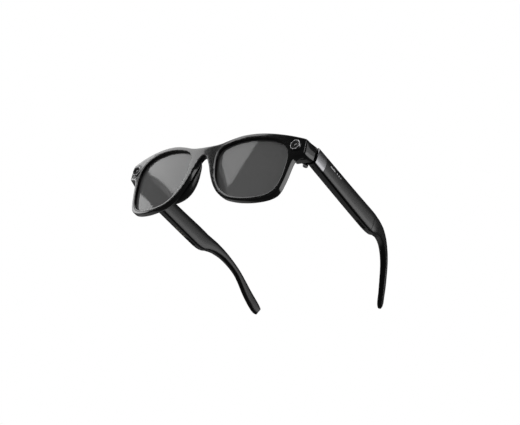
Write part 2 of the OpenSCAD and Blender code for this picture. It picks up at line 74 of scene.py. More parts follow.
@dataclass(frozen=True)
class Worn:
    """The worn layout and the way from it to the frame, read from the left hinge's joint."""

    pitch: float
    hinge_frame: tuple[float, float, float]
    hinge_worn: tuple[float, float, float] = (65.5, 20.6, 5.75)

    @classmethod
    def from_record(cls, record: dict) -> "Worn":
        """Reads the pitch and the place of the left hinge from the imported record.

        Args:
            record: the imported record.

        Returns:
            The layout.
        """
        joint = next(j for j in record["behaviour"]["joints"] if j["name"] == "left_temple_fold")
        axis = joint["axis"]
        return cls(math.atan2(axis[1], axis[2]), tuple(joint["pos_m"]))

    @property
    def turn(self) -> Array:
        """The rotation about X that tips the worn layout onto its rims and temple tips."""
        c, s = math.cos(self.pitch), math.sin(self.pitch)
        return np.array([[1, 0, 0], [0, c, s], [0, -s, c]])

    def to_frame(self, points: Array) -> Array:
        """Turns worn millimetres into frame metres: rotate about the hinge, scale and move."""
        off = (np.asarray(points, float) - np.array(self.hinge_worn)) / MM_PER_M
        return off @ self.turn.T + np.array(self.hinge_frame)

    def direction(self, vectors: Array) -> Array:
        """Turns worn directions into frame directions."""
        return np.asarray(vectors, float) @ self.turn.T


# ---- curves and grids -----------------------------------------------------------------------


def catmull(points: Array, n: int, closed: bool = False) -> Array:
    """The Catmull-Rom curve through some points: the cubic whose slope at each point is half the
    step between its neighbours.

    Args:
        points: rows of coordinates or of any values that vary along the curve.
        n: points to each stretch.
        closed: whether the curve returns to its first point.

    Returns:
        The curve's rows; an open curve includes its last point.
    """
    p = np.asarray(points, float)
    if closed:
        q = np.vstack([p[-1], p, p[:2]])
    else:
        q = np.vstack([p[0], p, p[-1]])
    a, b, c, d = q[:-3, None], q[1:-2, None], q[2:-1, None], q[3:, None]
    t = (np.arange(n) / n)[None, :, None]
    rows = 0.5 * (
        2 * b + (c - a) * t + (2 * a - 5 * b + 4 * c - d) * t**2 + (3 * b - a - 3 * c + d) * t**3
    )
    flat = rows.reshape(-1, p.shape[1])
    return flat if closed else np.vstack([flat, p[-1]])


def even(points: Array, step: float) -> Array:
    """Spaces a closed polyline's points evenly by arc length.

    Args:
        points: the polyline.
        step: the spacing wanted.

    Returns:
        The evenly spaced points.
    """
    p = np.vstack([points, points[:1]])
    run = np.concatenate([[0], np.cumsum(np.linalg.norm(np.diff(p, axis=0), axis=1))])
    n = max(FEWEST_POINTS, int(round(run[-1] / step)))
    want = np.linspace(0, run[-1], n, endpoint=False)
    return np.stack([np.interp(want, run, p[:, k]) for k in range(p.shape[1])], 1)


def inward(outline: Array) -> Array:
    """Unit normals of a closed outline that point into the area it encloses.

    Args:
        outline: rows of [x, z].

    Returns:
        A normal for each point: the step between its neighbours, turned a quarter.
    """
    t = np.roll(outline, -1, 0) - np.roll(outline, 1, 0)
    n = np.stack([-t[:, 1], t[:, 0]], 1)
    n /= np.linalg.norm(n, axis=1, keepdims=True)
    x, z = outline.T
    area = np.sum(x * np.roll(z, -1) - np.roll(x, -1) * z)
    return n if area > 0 else -n


def grid_faces(rows: int, columns: int, wrap_rows: bool = False) -> Array:
    """The quads of a grid of rows times columns vertices, stored row by row, each row closed.

    Args:
        rows: rows of vertices.
        columns: vertices to a row.
        wrap_rows: whether the last row joins the first.

    Returns:
        The quads' vertex numbers.
    """
    r = np.arange(rows if wrap_rows else rows - 1)[:, None]
    c = np.arange(columns)[None, :]
    r2, c2 = (r + 1) % rows, (c + 1) % columns
    quads = [r * columns + c, r2 * columns + c, r2 * columns + c2, r * columns + c2]
    return np.stack([np.broadcast_to(q, (len(r), c.shape[1])) for q in quads], -1).reshape(-1, 4)


def capped(rows: Array) -> Mesh:
    """A closed skin over rows of section points, each end closed by one face.

    Args:
        rows: section points, shaped (rows, columns, 3).

    Returns:
        The vertices and the faces.
    """
    n, m = rows.shape[:2]
    faces = grid_faces(n, m).tolist()
    faces.append(list(range(m)))
    faces.append(list(range((n - 1) * m, n * m))[::-1])
    return rows.reshape(-1, 3), faces


def inside(points: Array, outline: Array) -> Array:
    """Whether each point is inside a closed outline, by counting the edges to its right.

    Args:
        points: rows of [x, z].
        outline: the closed outline.

    Returns:
        True for each point inside.
    """
    x, y = points[:, :1], points[:, 1:]
    x0, y0 = outline.T
    x1, y1 = np.roll(outline, -1, 0).T
    crosses = (y0 > y) != (y1 > y)
    at = (x1 - x0) * (y - y0) / np.where(y1 == y0, 1e-12, y1 - y0) + x0
    return (crosses & (x < at)).sum(1) % 2 == 1


def merged(parts: list[Mesh]) -> Mesh:
    """Puts several meshes into one list of vertices and faces.

    Args:
        parts: vertices and faces of each mesh.

    Returns:
        All vertices, and all faces numbered to match.
    """
    vertices, faces, start = [], [], 0
    for points, quads in parts:
        vertices.append(points)
        faces += [[i + start for i in f] for f in quads]
        start += len(points)
    return np.vstack(vertices), faces


# ---- meshes ---------------------------------------------------------------------------------


class Bench:
    """Makes finished pieces: vertices from the worn layout, normals out, riding on a body."""

    def __init__(self, worn: Worn) -> None:
        """Keeps the layout that all pieces are set down by."""
        self.worn = worn

    def mesh(self, name: str, vertices: Array, faces: list, mirrored: bool) -> bpy.types.Mesh:
        """Makes a mesh in the frame's metres from worn millimetres.

        Args:
            name: the mesh's name.
            vertices: worn coordinates.
            faces: vertex numbers of each face.
            mirrored: whether to mirror it to the wearer's right.

        Returns:
            The mesh, its normals not yet turned outward.
        """
        worn = np.array(vertices, float)
        if mirrored:
            worn[:, 0] *= -1
        made = bpy.data.meshes.new(name)
        made.from_pydata(self.worn.to_frame(worn).tolist(), [], [list(f) for f in faces])
        return made

    def piece(
        self,
        name: str,
        vertices: Array,
        faces: list,
        body: str,
        slot: str,
        material: bpy.types.Material,
        replaces: tuple[str, ...] = (),
        sharp: float = CUT_SHARP,
        mirrored: bool = False,
    ) -> bpy.types.Object:
        """Args:
            name: the piece's name.
            vertices: worn coordinates in millimetres.
            faces: vertex numbers of each face.
            body: the body that it rides on.
            slot: the record's material slot; not used.
            material: its finish.
            replaces: the frame's nodes that it stands for.
            sharp: edges that turn more than this many degrees are shaded sharp.
            mirrored: whether to build it on the wearer's right.

        Returns:
            The finished object.
        """
        mesh = self.mesh(name, vertices, faces, mirrored)
        tidy = bmesh.new()
        tidy.from_mesh(mesh)
        bmesh.ops.remove_doubles(tidy, verts=tidy.verts, dist=WELD_M)
        bmesh.ops.dissolve_degenerate(tidy, edges=tidy.edges, dist=DEGENERATE_M)
        bmesh.ops.recalc_face_normals(tidy, faces=tidy.faces)
        tidy.to_mesh(mesh)
        tidy.free()
        mesh.shade_smooth()
        mesh.set_sharp_from_angle(angle=math.radians(sharp))
        mesh.materials.append(material)
        obj = bpy.data.objects.new(name, mesh)
        bpy.context.scene.collection.objects.link(obj)
        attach(obj, body)
        if replaces:
            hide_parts(*replaces)
        LOG.info("%s: %d faces on %s", name, len(mesh.polygons), body)
        return obj

    def cut(self, obj: bpy.types.Object, cutters: list[Mesh], mirrored: bool) -> None:
        """Cuts closed shapes out of a piece and keeps the result as its mesh.

        Args:
            obj: the piece.
            cutters: worn vertices and faces of each cutter.
            mirrored: whether the cutters are mirrored to the wearer's right.
        """
        for vertices, faces in cutters:
            mesh = self.mesh("cutter", vertices, faces, mirrored)
            turned = bmesh.new()
            turned.from_mesh(mesh)
            bmesh.ops.recalc_face_normals(turned, faces=turned.faces)
            turned.to_mesh(mesh)
            turned.free()
            cutter = bpy.data.objects.new("cutter", mesh)
            bpy.context.scene.collection.objects.link(cutter)
            cut = obj.modifiers.new("cut", "BOOLEAN")
            cut.operation, cut.solver, cut.object = "DIFFERENCE", "EXACT", cutter
            graph = bpy.context.evaluated_depsgraph_get()
            result = bpy.data.meshes.new_from_object(obj.evaluated_get(graph))
            obj.modifiers.clear()
            old, obj.data = obj.data, result
            bpy.data.meshes.remove(old)
            bpy.data.objects.remove(cutter)
            bpy.data.meshes.remove(mesh)
        obj.data.set_sharp_from_angle(angle=math.radians(CUT_SHARP))


def slab(centre: tuple[float, float, float], size: tuple[float, float, float]) -> Mesh:
    """A plain closed box for cutting.

    Args:
        centre: its middle.
        size: its length along each axis.

    Returns:
        Its vertices and faces.
    """
    half = np.array(size) / 2
    signs = np.array([[i, j, k] for i in (-1, 1) for j in (-1, 1) for k in (-1, 1)])
    faces = [[0, 1, 3, 2], [4, 6, 7, 5], [0, 4, 5, 1], [2, 3, 7, 6], [0, 2, 6, 4], [1, 5, 7, 3]]
    return np.array(centre) + signs * half, faces


def long_round(
    centre: tuple[float, float, float], length: float, width: float, height: float
) -> Mesh:
    """A closed upright prism with round ends, long along Y: a half circle round each end.

    Args:
        centre: its middle.
        length: its whole length along Y.
        width: its width, which is also its ends' diameter.
        height: its height along Z.

    Returns:
        Its vertices and faces.
    """
    a = np.linspace(0, math.pi, 13)
    end = np.stack([np.cos(a), np.sin(a)], 1) * width / 2
    shift = np.array([0, (length - width) / 2])
    outline = np.vstack([end + shift, -end - shift])
    x, y, z = centre
    rows = np.stack(
        [np.c_[outline + [x, y], np.full(len(outline), z + s * height / 2)] for s in (-1, 1)]
    )
    return capped(rows)


def lathe(profile: Array, n: int = 72) -> Mesh:
    """A profile turned about an axis.

    Args:
        profile: rows of radius and distance along the axis, from one pole or rim to the other.
        n: steps round.

    Returns:
        Vertices with the axis along the third coordinate, and faces.
    """
    a = np.arange(n) / n * 2 * math.pi
    r, h = profile[:, :1], profile[:, 1:]
    rows = np.stack([r * np.cos(a), r * np.sin(a), np.broadcast_to(h, (len(r), n))], -1)
    closed = bool(np.allclose(profile[0], profile[-1]))
    if closed:
        rows = rows[:-1]
        return rows.reshape(-1, 3), grid_faces(len(rows), n, wrap_rows=True).tolist()
    return capped(rows)


# ---- shader nodes ---------------------------------------------------------------------------


class Sock:
    """A shader value whose Python operators add Math nodes."""

    def __init__(self, nodes: "Nodes", link: bpy.types.NodeSocket) -> None:
        """Wraps an output socket."""
        self.nodes, self.link = nodes, link

    def _math(self, operation: str, a: object, b: object) -> "Sock":
        """Adds one Math node."""
        made = self.nodes.add("ShaderNodeMath", {"operation": operation}, {0: a, 1: b})
        return Sock(self.nodes, made.outputs[0])

    def __add__(self, other: object) -> "Sock":
        """self + other."""
        return self._math("ADD", self, other)

    def __mul__(self, other: object) -> "Sock":
        """self * other."""
        return self._math("MULTIPLY", self, other)

    def __sub__(self, other: object) -> "Sock":
        """self - other."""
        return self._math("SUBTRACT", self, other)

    def __rsub__(self, other: object) -> "Sock":
        """other - self."""
        return self._math("SUBTRACT", other, self)

    def __gt__(self, other: object) -> "Sock":
        """1 where self is greater than other, else 0."""
        return self._math("GREATER_THAN", self, other)

    __radd__ = __add__
    __rmul__ = __mul__


class Nodes:
    """A material's node tree, with one method that makes any node."""

    def __init__(self, name: str) -> None:
        """Starts a material that holds only its output and a Principled shader.

        Args:
            name: the material's name.
        """
        self.material = bpy.data.materials.new(name)
        self.material.use_nodes = True
        self.tree = self.material.node_tree
        self.shader = next(n for n in self.tree.nodes if n.type == "BSDF_PRINCIPLED")

    def add(self, kind: str, settings: dict, inputs: dict) -> bpy.types.Node:
        """Makes a node.

        Args:
            kind: the node's type name.
            settings: its settings.
            inputs: the value or link of each socket, by name or number.

        Returns:
            The node.
        """
        made = self.tree.nodes.new(kind)
        for key, value in settings.items():
            setattr(made, key, value)
        for key, value in inputs.items():
            self.feed(made.inputs[key], value)
        return made

    def feed(self, socket: bpy.types.NodeSocket, value: object) -> None:
        """Links a socket, or sets its value.

        Args:
            socket: the socket.
            value: a shader value, or a constant.
        """
        if isinstance(value, Sock):
            self.tree.links.new(value.link, socket)
        else:
            socket.default_value = value

    def place(self, stretch: tuple[float, float, float] = (1, 1, 1)) -> Sock:
        """Object coordinates, stretched along each axis.

        Args:
            stretch: the factor along each axis.

        Returns:
            The stretched coordinates.
        """
        coords = self.add("ShaderNodeTexCoord", {}, {})
        mapped = self.add(
            "ShaderNodeMapping", {}, {"Vector": Sock(self, coords.outputs["Object"]), "Scale": stretch}
        )
        return Sock(self, mapped.outputs[0])

    def noise(self, at: Sock, scale: float, detail: float = 3.0) -> Sock:
        """A cloudy value about 0.5 over the surface.

        Args:
            at: where the clouds are read.
            scale: clouds to the metre.
            detail: how many finer layers are added.

        Returns:
            The value.
        """
        made = self.add(
            "ShaderNodeTexNoise", {}, {"Vector": at, "Scale": scale, "Detail": detail}
        )
        return Sock(self, made.outputs["Fac"])

    def cells(self, at: Sock, scale: float) -> Sock:
        """Distance to the nearest of many scattered points."""
        made = self.add("ShaderNodeTexVoronoi", {}, {"Vector": at, "Scale": scale})
        return Sock(self, made.outputs["Distance"])

    def bump(self, height: Sock, strength: float, depth: float) -> None:
        """Feeds a bump into the shader's normal.

        Args:
            height: the relief.
            strength: how strongly it tells, up to 1.
            depth: its depth in metres.
        """
        made = self.add(
            "ShaderNodeBump", {}, {"Height": height, "Strength": strength, "Distance": depth}
        )
        self.feed(self.shader.inputs["Normal"], Sock(self, made.outputs[0]))

    def tint(self, share: Sock, low: tuple, high: tuple) -> None:
        """Feeds a mix of two colours into the base colour.

        Args:
            share: how much of the second colour shows.
            low: the first colour.
            high: the second colour.
        """
        made = self.add(
            "ShaderNodeMix",
            {"data_type": "RGBA"},
            {0: share, 6: (*low, 1.0), 7: (*high, 1.0)},
        )
        self.feed(self.shader.inputs["Base Color"], Sock(self, made.outputs[2]))


class Surface(Enum):
    """How a finish is worked."""

    POLISHED = "polished"
    MOULDED = "moulded"
    TURNED = "turned"
    BRUSHED = "brushed"
    PRINTED = "printed"


CLOUD_SCALE = 60.0
CLOUD_DETAIL = 4.0
CLOUD_SHARE = 0.7
FINE_SHARE = 0.3
FINE_ROUGH = 0.04
HAIR_SCALE = 900.0
HAIR_STRETCH = (1.0, 0.04, 0.6)
HAIR_LEVEL = 0.66
HAIR_ROUGH = 0.05
TRACK_SCALE = 900.0
TRACK_LEVEL = 0.4
TRACK_ROUGH = 0.1
COAT_ROUGH = 0.04


@dataclass(frozen=True)
class Finish:
    """One finish: its colours, gloss and the small detail of how it is worked."""

    name: str
    low: tuple[float, float, float]
    high: tuple[float, float, float]
    rough: float
    rough_spread: float = 0.06
    metallic: float = 0.0
    surface: Surface = Surface.MOULDED
    grain: float = 2500.0
    depth: float = 0.00001
    strength: float = 0.15
    coat: float = 0.0
    alpha: float = 1.0
    ior: float = 1.5

    def build(self) -> bpy.types.Material:
        """Makes the material.

        Returns:
            The material with its nodes.
        """
        n = Nodes(self.name)
        stretch = (1.0, 1.0, 1.0)
        if self.surface is Surface.BRUSHED:
            stretch = (1.0, 0.05, 1.0)
        elif self.surface is Surface.TURNED:
            stretch = (0.3, 1.0, 0.3)
        at = n.place(stretch)
        fine = n.noise(at, self.grain)
        cloud = n.noise(n.place(), CLOUD_SCALE, CLOUD_DETAIL)
        n.tint(cloud * CLOUD_SHARE + fine * FINE_SHARE, self.low, self.high)
        wear = cloud * (2 * self.rough_spread) + (self.rough - self.rough_spread)
        if self.surface is Surface.POLISHED:
            hairs = n.noise(n.place(HAIR_STRETCH), HAIR_SCALE, 2.0)
            n.feed(n.shader.inputs["Roughness"], wear + (hairs > HAIR_LEVEL) * HAIR_ROUGH)
            n.bump(cloud * 0.5 + fine * 0.5, self.strength, self.depth)
        elif self.surface is Surface.PRINTED:
            tracks = n.cells(n.place(), TRACK_SCALE)
            n.feed(n.shader.inputs["Roughness"], wear + tracks * TRACK_ROUGH)
            n.bump(tracks > TRACK_LEVEL, self.strength, self.depth)
        else:
            n.feed(n.shader.inputs["Roughness"], wear + fine * FINE_ROUGH)
            n.bump(fine, self.strength, self.depth)
        s = n.shader.inputs
        s["Metallic"].default_value = self.metallic
        s["IOR"].default_value = self.ior
        s["Coat Weight"].default_value = self.coat
        s["Coat Roughness"].default_value = COAT_ROUGH
        s["Alpha"].default_value = self.alpha
        return n.material


BLACK_GLOSS = Finish(
    "polished black plastic", (0.006, 0.006, 0.0065), (0.010, 0.010, 0.0105), 0.15, 0.03,
    surface=Surface.POLISHED, grain=1800, depth=0.000001, strength=0.04, coat=0.6,
)
TEMPLE_BLACK = Finish(
    "satin black plastic", (0.007, 0.007, 0.0075), (0.012, 0.012, 0.0125), 0.24, 0.04,
    surface=Surface.POLISHED, grain=2200, depth=0.000002, strength=0.06,
)
PAD_BLACK = Finish(
    "tumbled black plastic", (0.007, 0.007, 0.007), (0.012, 0.012, 0.012), 0.22, 0.04,
    surface=Surface.POLISHED, grain=1500, depth=0.00001,
)
LENS_TINT = Finish(
    "grey tinted lens", (0.31, 0.31, 0.311), (0.33, 0.33, 0.331), 0.03, 0.008,
    surface=Surface.POLISHED, grain=600, depth=0.0000001, strength=0.01, alpha=0.84,
)
MIRROR_STEEL = Finish(
    "polished steel", (0.26, 0.26, 0.27), (0.32, 0.32, 0.33), 0.20, 0.04, 1.0,
    Surface.BRUSHED, 3000, 0.000004, 0.2,
)
RING_STEEL = Finish(
    "turned steel ring", (0.42, 0.42, 0.43), (0.56, 0.56, 0.57), 0.28, 0.05, 1.0,
    Surface.TURNED, 5000, 0.000006, 0.3,
)
HINGE_STEEL = Finish(
    "machined hinge steel", (0.38, 0.38, 0.39), (0.50, 0.50, 0.51), 0.30, 0.06, 1.0,
    Surface.BRUSHED, 4000, 0.000008, 0.3,
)
SCREW_STEEL = Finish(
    "plated screws", (0.30, 0.30, 0.31), (0.42, 0.42, 0.43), 0.33, 0.06, 1.0,
    Surface.TURNED, 4000, 0.000008, 0.3,
)
WIRE_STEEL = Finish(
    "spring wire", (0.45, 0.45, 0.45), (0.55, 0.55, 0.55), 0.3, 0.05, 1.0,
    Surface.BRUSHED, 3000, 0.000006, 0.2,
)
DARK_WINDOW = Finish(
    "coated dark window", (0.004, 0.004, 0.006), (0.008, 0.008, 0.012), 0.05, 0.01,
    surface=Surface.POLISHED, grain=900, depth=0.000001, strength=0.04, coat=0.6,
)
MODULE_BLACK = Finish("matt black module", (0.012, 0.012, 0.012), (0.022, 0.022, 0.022), 0.6, 0.08)
WHITE_REFLECTOR = Finish("white reflector", (0.70, 0.70, 0.68), (0.82, 0.82, 0.80), 0.3, 0.05)
BOARD_GREEN = Finish(
    "solder mask", (0.01, 0.08, 0.04), (0.02, 0.14, 0.07), 0.35, 0.06,
    surface=Surface.PRINTED, depth=0.00002, strength=0.4,
)
CAN_METAL = Finish(
    "coated can", (0.05, 0.05, 0.055), (0.09, 0.09, 0.1), 0.45, 0.06, 0.6, grain=3000,
)
MESH_BLACK = Finish(
    "black mesh", (0.015, 0.015, 0.016), (0.03, 0.03, 0.032), 0.45, 0.06, 0.4,
    Surface.PRINTED, 3000, 0.00003, 0.5,
)
FOIL = Finish(
    "battery foil", (0.35, 0.36, 0.38), (0.48, 0.49, 0.51), 0.35, 0.08, 0.9, grain=700,
    depth=0.00005, strength=0.4,
)
GOLD = Finish(
    "pale gold plating", (0.80, 0.74, 0.62), (0.90, 0.85, 0.74), 0.45, 0.05, 0.6, Surface.TURNED,
    4000, 0.000005, 0.2,
)
NICKEL = Finish(
    "nickel plating", (0.48, 0.47, 0.44), (0.58, 0.57, 0.54), 0.25, 0.05, 1.0, Surface.BRUSHED,
)
BUTTON_BLACK = Finish(
    "textured button", (0.012, 0.012, 0.012), (0.02, 0.02, 0.02), 0.48, 0.06, grain=3500,
    depth=0.00002, strength=0.5,
)
MARK_GREY = Finish(
    "printed grey", (0.62, 0.62, 0.63), (0.72, 0.72, 0.73), 0.5, 0.06, grain=2500,
)
SLOT_FINISH: dict[str, Finish] = {
    "frame_plastic": BLACK_GLOSS,
    "pad_plastic": PAD_BLACK,
    "tinted_lens": LENS_TINT,
    "temple_plastic": TEMPLE_BLACK,
    "polished_metal": MIRROR_STEEL,
    "ring_metal": RING_STEEL,
    "eye_window": DARK_WINDOW,
    "dark_module": MODULE_BLACK,
    "reflector": WHITE_REFLECTOR,
    "circuit_board": BOARD_GREEN,
    "hinge_steel": HINGE_STEEL,
    "screw_steel": SCREW_STEEL,
    "speaker_metal": CAN_METAL,
    "mesh_metal": MESH_BLACK,
    "wire_steel": WIRE_STEEL,
    "battery_foil": FOIL,
    "contact_gold": GOLD,
    "magnet_nickel": NICKEL,
    "button_plastic": BUTTON_BLACK,
}


# ---- the front ------------------------------------------------------------------------------


@dataclass
class Front:
    """The front: rims, bridge, corner housings, nose pads and lenses."""

    bench: Bench
    finish: dict[str, bpy.types.Material]
    wrap: float = 252.0
    tilt: float = math.radians(7)
    depth: float = 4.2
    lens_set: float = 2.0
    lens_thick: float = 1.4
    lens_bite: float = 0.7
    front_round: float = 0.5
    rear_round: float = 1.3
    lip: float = 0.45
    crown: float = 1.15
    pad_tip: float = 0.25
    pad_half: float = 2.1
    pad_rise: float = 6.9
    pad_sunk: float = 0.3
    pad_lean: float = 0.18
    groove_play: float = 0.03
    lens_corner: float = 0.5
    opening_points: list = field(
        default_factory=lambda: [
            [60.4, -5], [60.2, 0.5], [58.7, 5], [55.2, 8.9], [49, 11.4], [41.7, 12.3], [34, 12.3],
            [25.8, 11.4], [17.8, 9.2], [12.7, 6.2], [10.8, 1.8], [11.4, -5.6], [13.6, -14],
            [18.2, -21.5], [25.4, -26.7], [34, -28.5], [42.8, -28.5], [51, -26.8], [56.6, -22.3],
            [59.3, -14.6],
        ]
    )
    half_points: list = field(
        default_factory=lambda: [
            [0, 9.6], [5, 9.7], [11.5, 10.4], [19, 12.7], [27, 14.7], [36, 15.6], [45, 15.5],
            [52.5, 14.8], [60, 13.8], [66, 12.7], [69.6, 11.9], [70.9, 11.2], [71.4, 9.8],
            [71.45, 6], [71.4, 2.4], [71.0, 1.1], [69.6, 0.3], [67, -0.3], [65, -1.7], [63.8, -4.5],
            [62.9, -9], [62, -14], [60.8, -19], [59.6, -22.9], [57.6, -26.2], [54.1, -28.6],
            [49.7, -30.1], [44.5, -31], [39, -31.3], [33.5, -31], [28.2, -30.1], [23.8, -28.8],
            [20, -26.7], [16.3, -23.8], [12.6, -19.1], [9.8, -14.2], [7.6, -9.4], [5.7, -4.6],
            [3.7, -0.6], [1.9, 2.1], [0, 3],
        ]
    )

    def surface(self, x: Array, z: Array, behind: Array | float) -> Array:
        """Where the front's surface, or one behind it, stands.

        The front is part of a cylinder about an upright axis, leaned forward by the tilt. At a
        height z and a place x across, y is the cylinder's sagitta over the tilt's cosine, less z
        times the tilt's tangent.

        Args:
            x: places across.
            z: heights.
            behind: distance behind the front face.

        Returns:
            The y of each point.
        """
        r = self.wrap - np.asarray(behind, float)
        return (self.wrap - np.sqrt(r**2 - x**2)) / math.cos(self.tilt) - z * math.tan(self.tilt)

    def lift(self, outline: Array, behind: Array | float) -> Array:
        """Lifts an [x, z] outline onto the surface a distance behind the front face."""
        x, z = outline[:, 0], outline[:, 1]
        return np.stack([x, self.surface(x, z, behind), z], 1)

    def outer(self) -> Array:
        """The whole front's outline: the left half and its mirror image.

        Returns:
            Evenly spaced rows of [x, z].
        """
        half = np.array(self.half_points, float)
        whole = np.vstack([half, half[-2:0:-1] * [-1, 1]])
        return even(catmull(whole, 8, closed=True), OUTLINE_STEP)

    def opening(self) -> Array:
        """The left lens opening's outline, evenly spaced."""
        return even(catmull(np.array(self.opening_points, float), 12, closed=True), OUTLINE_STEP)

    def profile(self, outer: bool) -> Array:
        """The rim's edge in section, front to back: rows of inset from the outline and distance
        behind the front face. Quarter circles round its two corners. The edge at the lens has
        the groove between them.

        Args:
            outer: whether this is the outer edge or the edge at the lens.

        Returns:
            The rows.
        """
        a = np.linspace(0, math.pi / 2, 7)
        rf, rr = (self.front_round, self.rear_round) if outer else (self.lip, self.lens_corner)
        front = np.stack([rf * (1 - np.sin(a)), rf * (1 - np.cos(a))], 1)
        rear = np.stack([rr * (1 - np.sin(a)), self.depth - rr * (1 - np.cos(a))], 1)[::-1]
        if outer:
            return np.vstack([front, rear])
        near = self.lens_set - self.groove_play
        far = self.lens_set + self.lens_thick + self.groove_play
        bite = self.lens_bite + 0.05
        groove = np.array([[0, near], [-bite, near], [-bite, far], [0, far]])
        groove[:, 0] *= -1
        return np.vstack([front, groove, rear])

    def edge(self, outline: Array, into: Array, outer: bool) -> tuple[Array, list, Array, Array]:
        """Carries the edge profile round an outline.

        Args:
            outline: the outline.
            into: unit directions into the solid.
            outer: whether this is the outer edge.

        Returns:
            The vertices, the faces, and the outlines where the front and rear faces start.
        """
        rows = self.profile(outer)
        rings = [outline + into * inset for inset in rows[:, 0]]
        points = np.stack([self.lift(r, b) for r, b in zip(rings, rows[:, 1])])
        faces = grid_faces(len(rows), len(outline)).tolist()
        return points.reshape(-1, 3), faces, rings[0], rings[-1]

    def face(self, loops: list[Array], behind: float) -> Mesh:
        """Fills the area inside the first loop and outside the others with triangles.

        Args:
            loops: closed outlines, the outer one first.
            behind: distance behind the front face.

        Returns:
            The vertices and the triangles.
        """
        x0, z0 = loops[0].min(0)
        x1, z1 = loops[0].max(0)
        gx, gz = np.meshgrid(np.arange(x0, x1, FILL_STEP), np.arange(z0, z1, FILL_STEP))
        grid = np.stack([gx.ravel(), gz.ravel()], 1)
        keep = inside(grid, loops[0])
        for k, loop in enumerate(loops):
            keep &= np.min(np.linalg.norm(grid[:, None] - loop[None], axis=2), 1) > FILL_MARGIN
            if k:
                keep &= ~inside(grid, loop)
        edges, start = [], 0
        for loop in loops:
            n = len(loop)
            i = np.arange(n)
            edges += np.stack([start + i, start + (i + 1) % n], 1).tolist()
            start += n
        points = np.vstack([*loops, grid[keep]])
        made = delaunay_2d_cdt([Vector(p) for p in points.tolist()], edges, [], 0, 1e-7)
        flat = np.array([list(v) for v in made[0]])
        triangles = np.array([list(f) for f in made[2] if len(f) == 3])
        middle = flat[triangles].mean(1)
        kept = inside(middle, loops[0])
        for loop in loops[1:]:
            kept &= ~inside(middle, loop)
        return self.lift(flat, behind), triangles[kept].tolist()

    def build_shell(self) -> None:
        """Builds rims and bridge as one closed piece: an edge round each outline, joined by a
        front and a rear face."""
        outer, left = self.outer(), self.opening()
        right = left[::-1] * [-1, 1]
        parts, fronts, rears = [], [], []
        for loop, is_outer in ((outer, True), (left, False), (right, False)):
            into = inward(loop) * (1 if is_outer else -1)
            points, faces, front, rear = self.edge(loop, into, is_outer)
            parts.append((points, faces))
            fronts.append(front)
            rears.append(rear)
        parts.append(self.face(fronts, 0.0))
        parts.append(self.face(rears, self.depth))
        vertices, faces = merged(parts)
        self.bench.piece(
            "front_shell", vertices, faces, "front", "frame_plastic",
            self.finish["frame_plastic"], ("front_frame",), sharp=40,
        )

    def build_corner(self, name: str, mirrored: bool) -> None:
        """Builds the housing behind a corner: a rounded rectangle carried back from just under
        the front face. Its outer side flares to the temple and is crowned, falling away by the
        1.7th power of the height from its middle, and its underside swells a little.
        The first and last rows draw in by a quarter circle, which rounds the ends.

        Args:
            name: the piece's name.
            mirrored: whether it is on the wearer's right.
        """
        front, back, front_r, back_r = 9.35, 17.6, 0.9, 0.5
        inner, outer, bottom, top, r = 60.75, 71.45, 0.6, 11.55, 1.15
        flare, swell, gap = 2.55, 0.55, 0.05
        t = np.linspace(0, 1, 40)
        round_in = np.linspace(0, math.pi / 2, 7)[:-1]
        start = np.stack(
            [front + front_r * (1 - np.cos(round_in)), front_r * (1 - np.sin(round_in))], 1
        )
        body_start, body_end = front + front_r, back - back_r - gap
        body = np.stack([body_start + (body_end - body_start) * t, 0 * t], 1)
        stop = np.stack(
            [back - back_r + back_r * np.sin(round_in), back_r * (1 - np.cos(round_in))], 1
        )
        y, inset = np.vstack([start, body, stop, [[back, back_r]]]).T
        share = np.clip((y - front) / (back - front), 0, 1)
        out = outer + flare * (0.45 * share + 0.55 * share**1.6)
        low = bottom - swell * np.sin(math.pi / 2 * np.clip(share * 1.6, 0, 1)) ** 2
        high = top + 0 * share
        lean = np.tan(self.tilt) * np.clip(1 - share * 2, 0, 1)
        a = np.linspace(0, math.pi / 2, 9)
        arc = np.stack([np.cos(a), np.sin(a)], 1)
        arcs = np.vstack([arc, arc[::-1] * [-1, 1], -arc, arc[::-1] * [1, -1]])
        signs = np.repeat(np.array([[1, 1], [-1, 1], [-1, -1], [1, -1]]), 9, 0)
        half = np.stack([(out - inner) / 2 - inset, (high - low) / 2 - inset], 1)
        centre = np.stack([(out + inner) / 2, (high + low) / 2], 1)
        flat = centre[:, None] + signs[None] * (half[:, None] - r) + arcs[None] * r
        away = np.abs(flat[..., 1] - centre[:, None, 1]) / (half[:, 1:] + 1e-6)
        outwards = np.clip((flat[..., 0] - centre[:, None, 0]) / half[:, :1], 0, 1)
        flat[..., 0] -= self.crown * share[:, None] ** 0.5 * outwards * away**1.7
        tilt = -(flat[..., 1] - 6) * lean[:, None]
        rows = np.stack([flat[..., 0], y[:, None] + tilt, flat[..., 1]], -1)
        vertices, faces = capped(rows)
        self.bench.piece(
            name, vertices, faces, "front", "frame_plastic", self.finish["frame_plastic"],
            mirrored=mirrored,
        )

